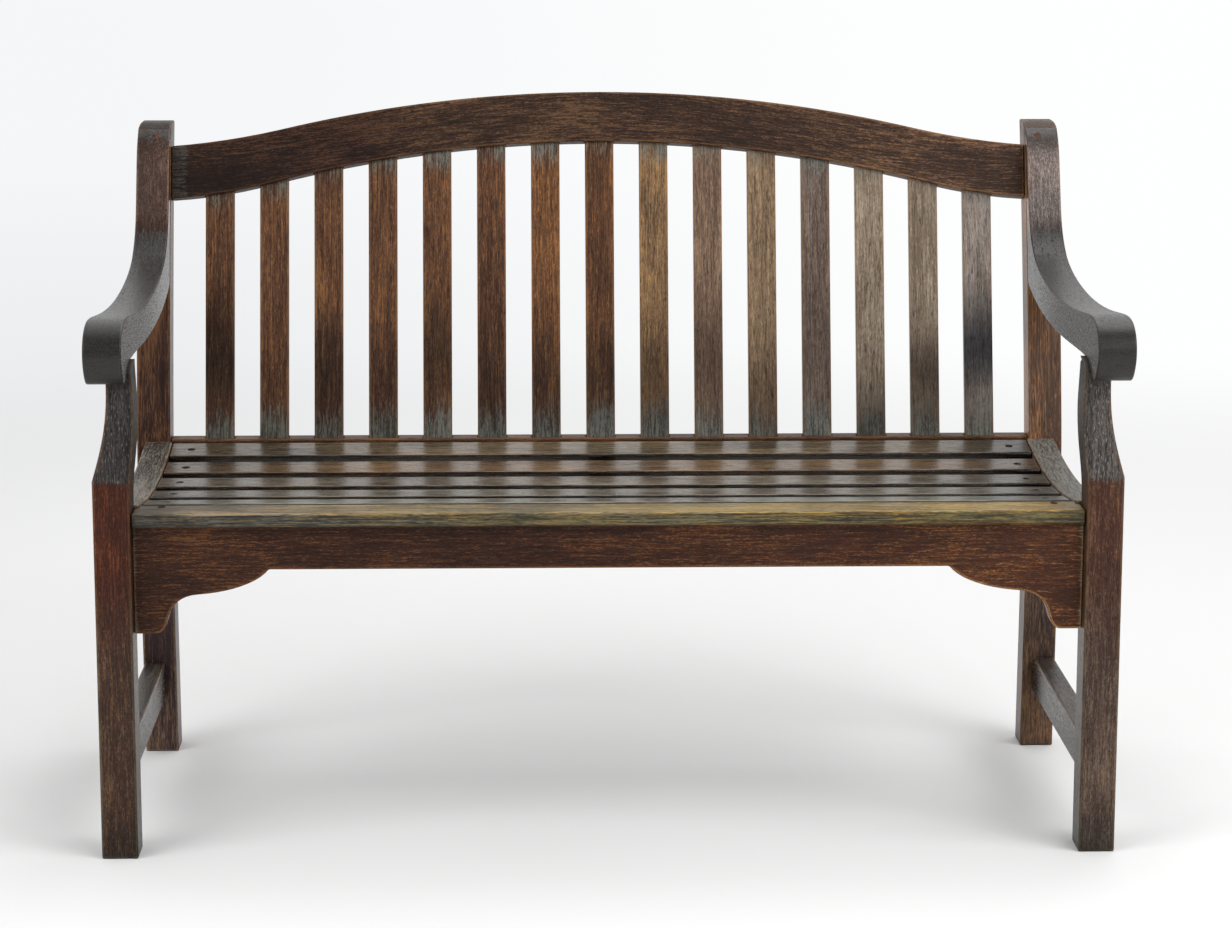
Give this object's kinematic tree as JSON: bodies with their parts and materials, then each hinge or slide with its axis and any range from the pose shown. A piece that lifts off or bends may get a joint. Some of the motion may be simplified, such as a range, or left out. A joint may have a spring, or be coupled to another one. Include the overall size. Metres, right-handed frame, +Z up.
{
  "type": "garden bench",
  "caption": "Two-seat hardwood garden bench with swan-neck scroll arms, camel-back slatted back, dished slatted seat and an apron with ogee ends.",
  "frame": {"origin": "on the ground, under the centre of the bench's bounding box", "axes": "+X along the bench, to the right as seen from the front; +Y from the front towards the back; +Z up"},
  "size_m": [1.26, 0.6966, 0.8989],
  "materials": {
    "legs": "oiled hardwood, weathered",
    "arms": "oiled hardwood, satin, worn dark",
    "rails": "oiled hardwood, weathered",
    "back_slats": "oiled hardwood, weathered",
    "seat_slats": "weathered grey-brown satin",
    "nosing": "weathered olive-brown satin",
    "lower_frame": "oiled hardwood, dark",
    "plugs": "end-grain plug",
    "screws": "stainless"
  },
  "bodies": {
    "root": {"rear_leg_left": "legs", "rear_leg_right": "legs", "front_leg_left": "legs", "front_leg_right": "legs", "arm_left": "arms", "arm_right": "arms", "arm_screws": "screws", "arm_plugs": "plugs", "top_rail": "rails", "back_bottom_rail": "rails", "back_slat_01": "back_slats", "back_slat_02": "back_slats", "back_slat_03": "back_slats", "back_slat_04": "back_slats", "back_slat_05": "back_slats", "back_slat_06": "back_slats", "back_slat_07": "back_slats", "back_slat_08": "back_slats", "back_slat_09": "back_slats", "back_slat_10": "back_slats", "back_slat_11": "back_slats", "back_slat_12": "back_slats", "back_slat_13": "back_slats", "back_slat_14": "back_slats", "back_slat_15": "back_slats", "seat_slat_1": "seat_slats", "seat_slat_2": "seat_slats", "seat_slat_3": "seat_slats", "seat_slat_4": "seat_slats", "seat_slat_5": "seat_slats", "seat_nosing": "nosing", "side_rail_left": "seat_slats", "side_rail_right": "seat_slats", "seat_bearer_left": "lower_frame", "seat_bearer_centre": "lower_frame", "seat_bearer_right": "lower_frame", "seat_screws": "screws", "bearer_screws": "screws", "front_apron": "rails", "side_stretcher_left": "lower_frame", "side_stretcher_right": "lower_frame"}
  },
  "joints": []
}
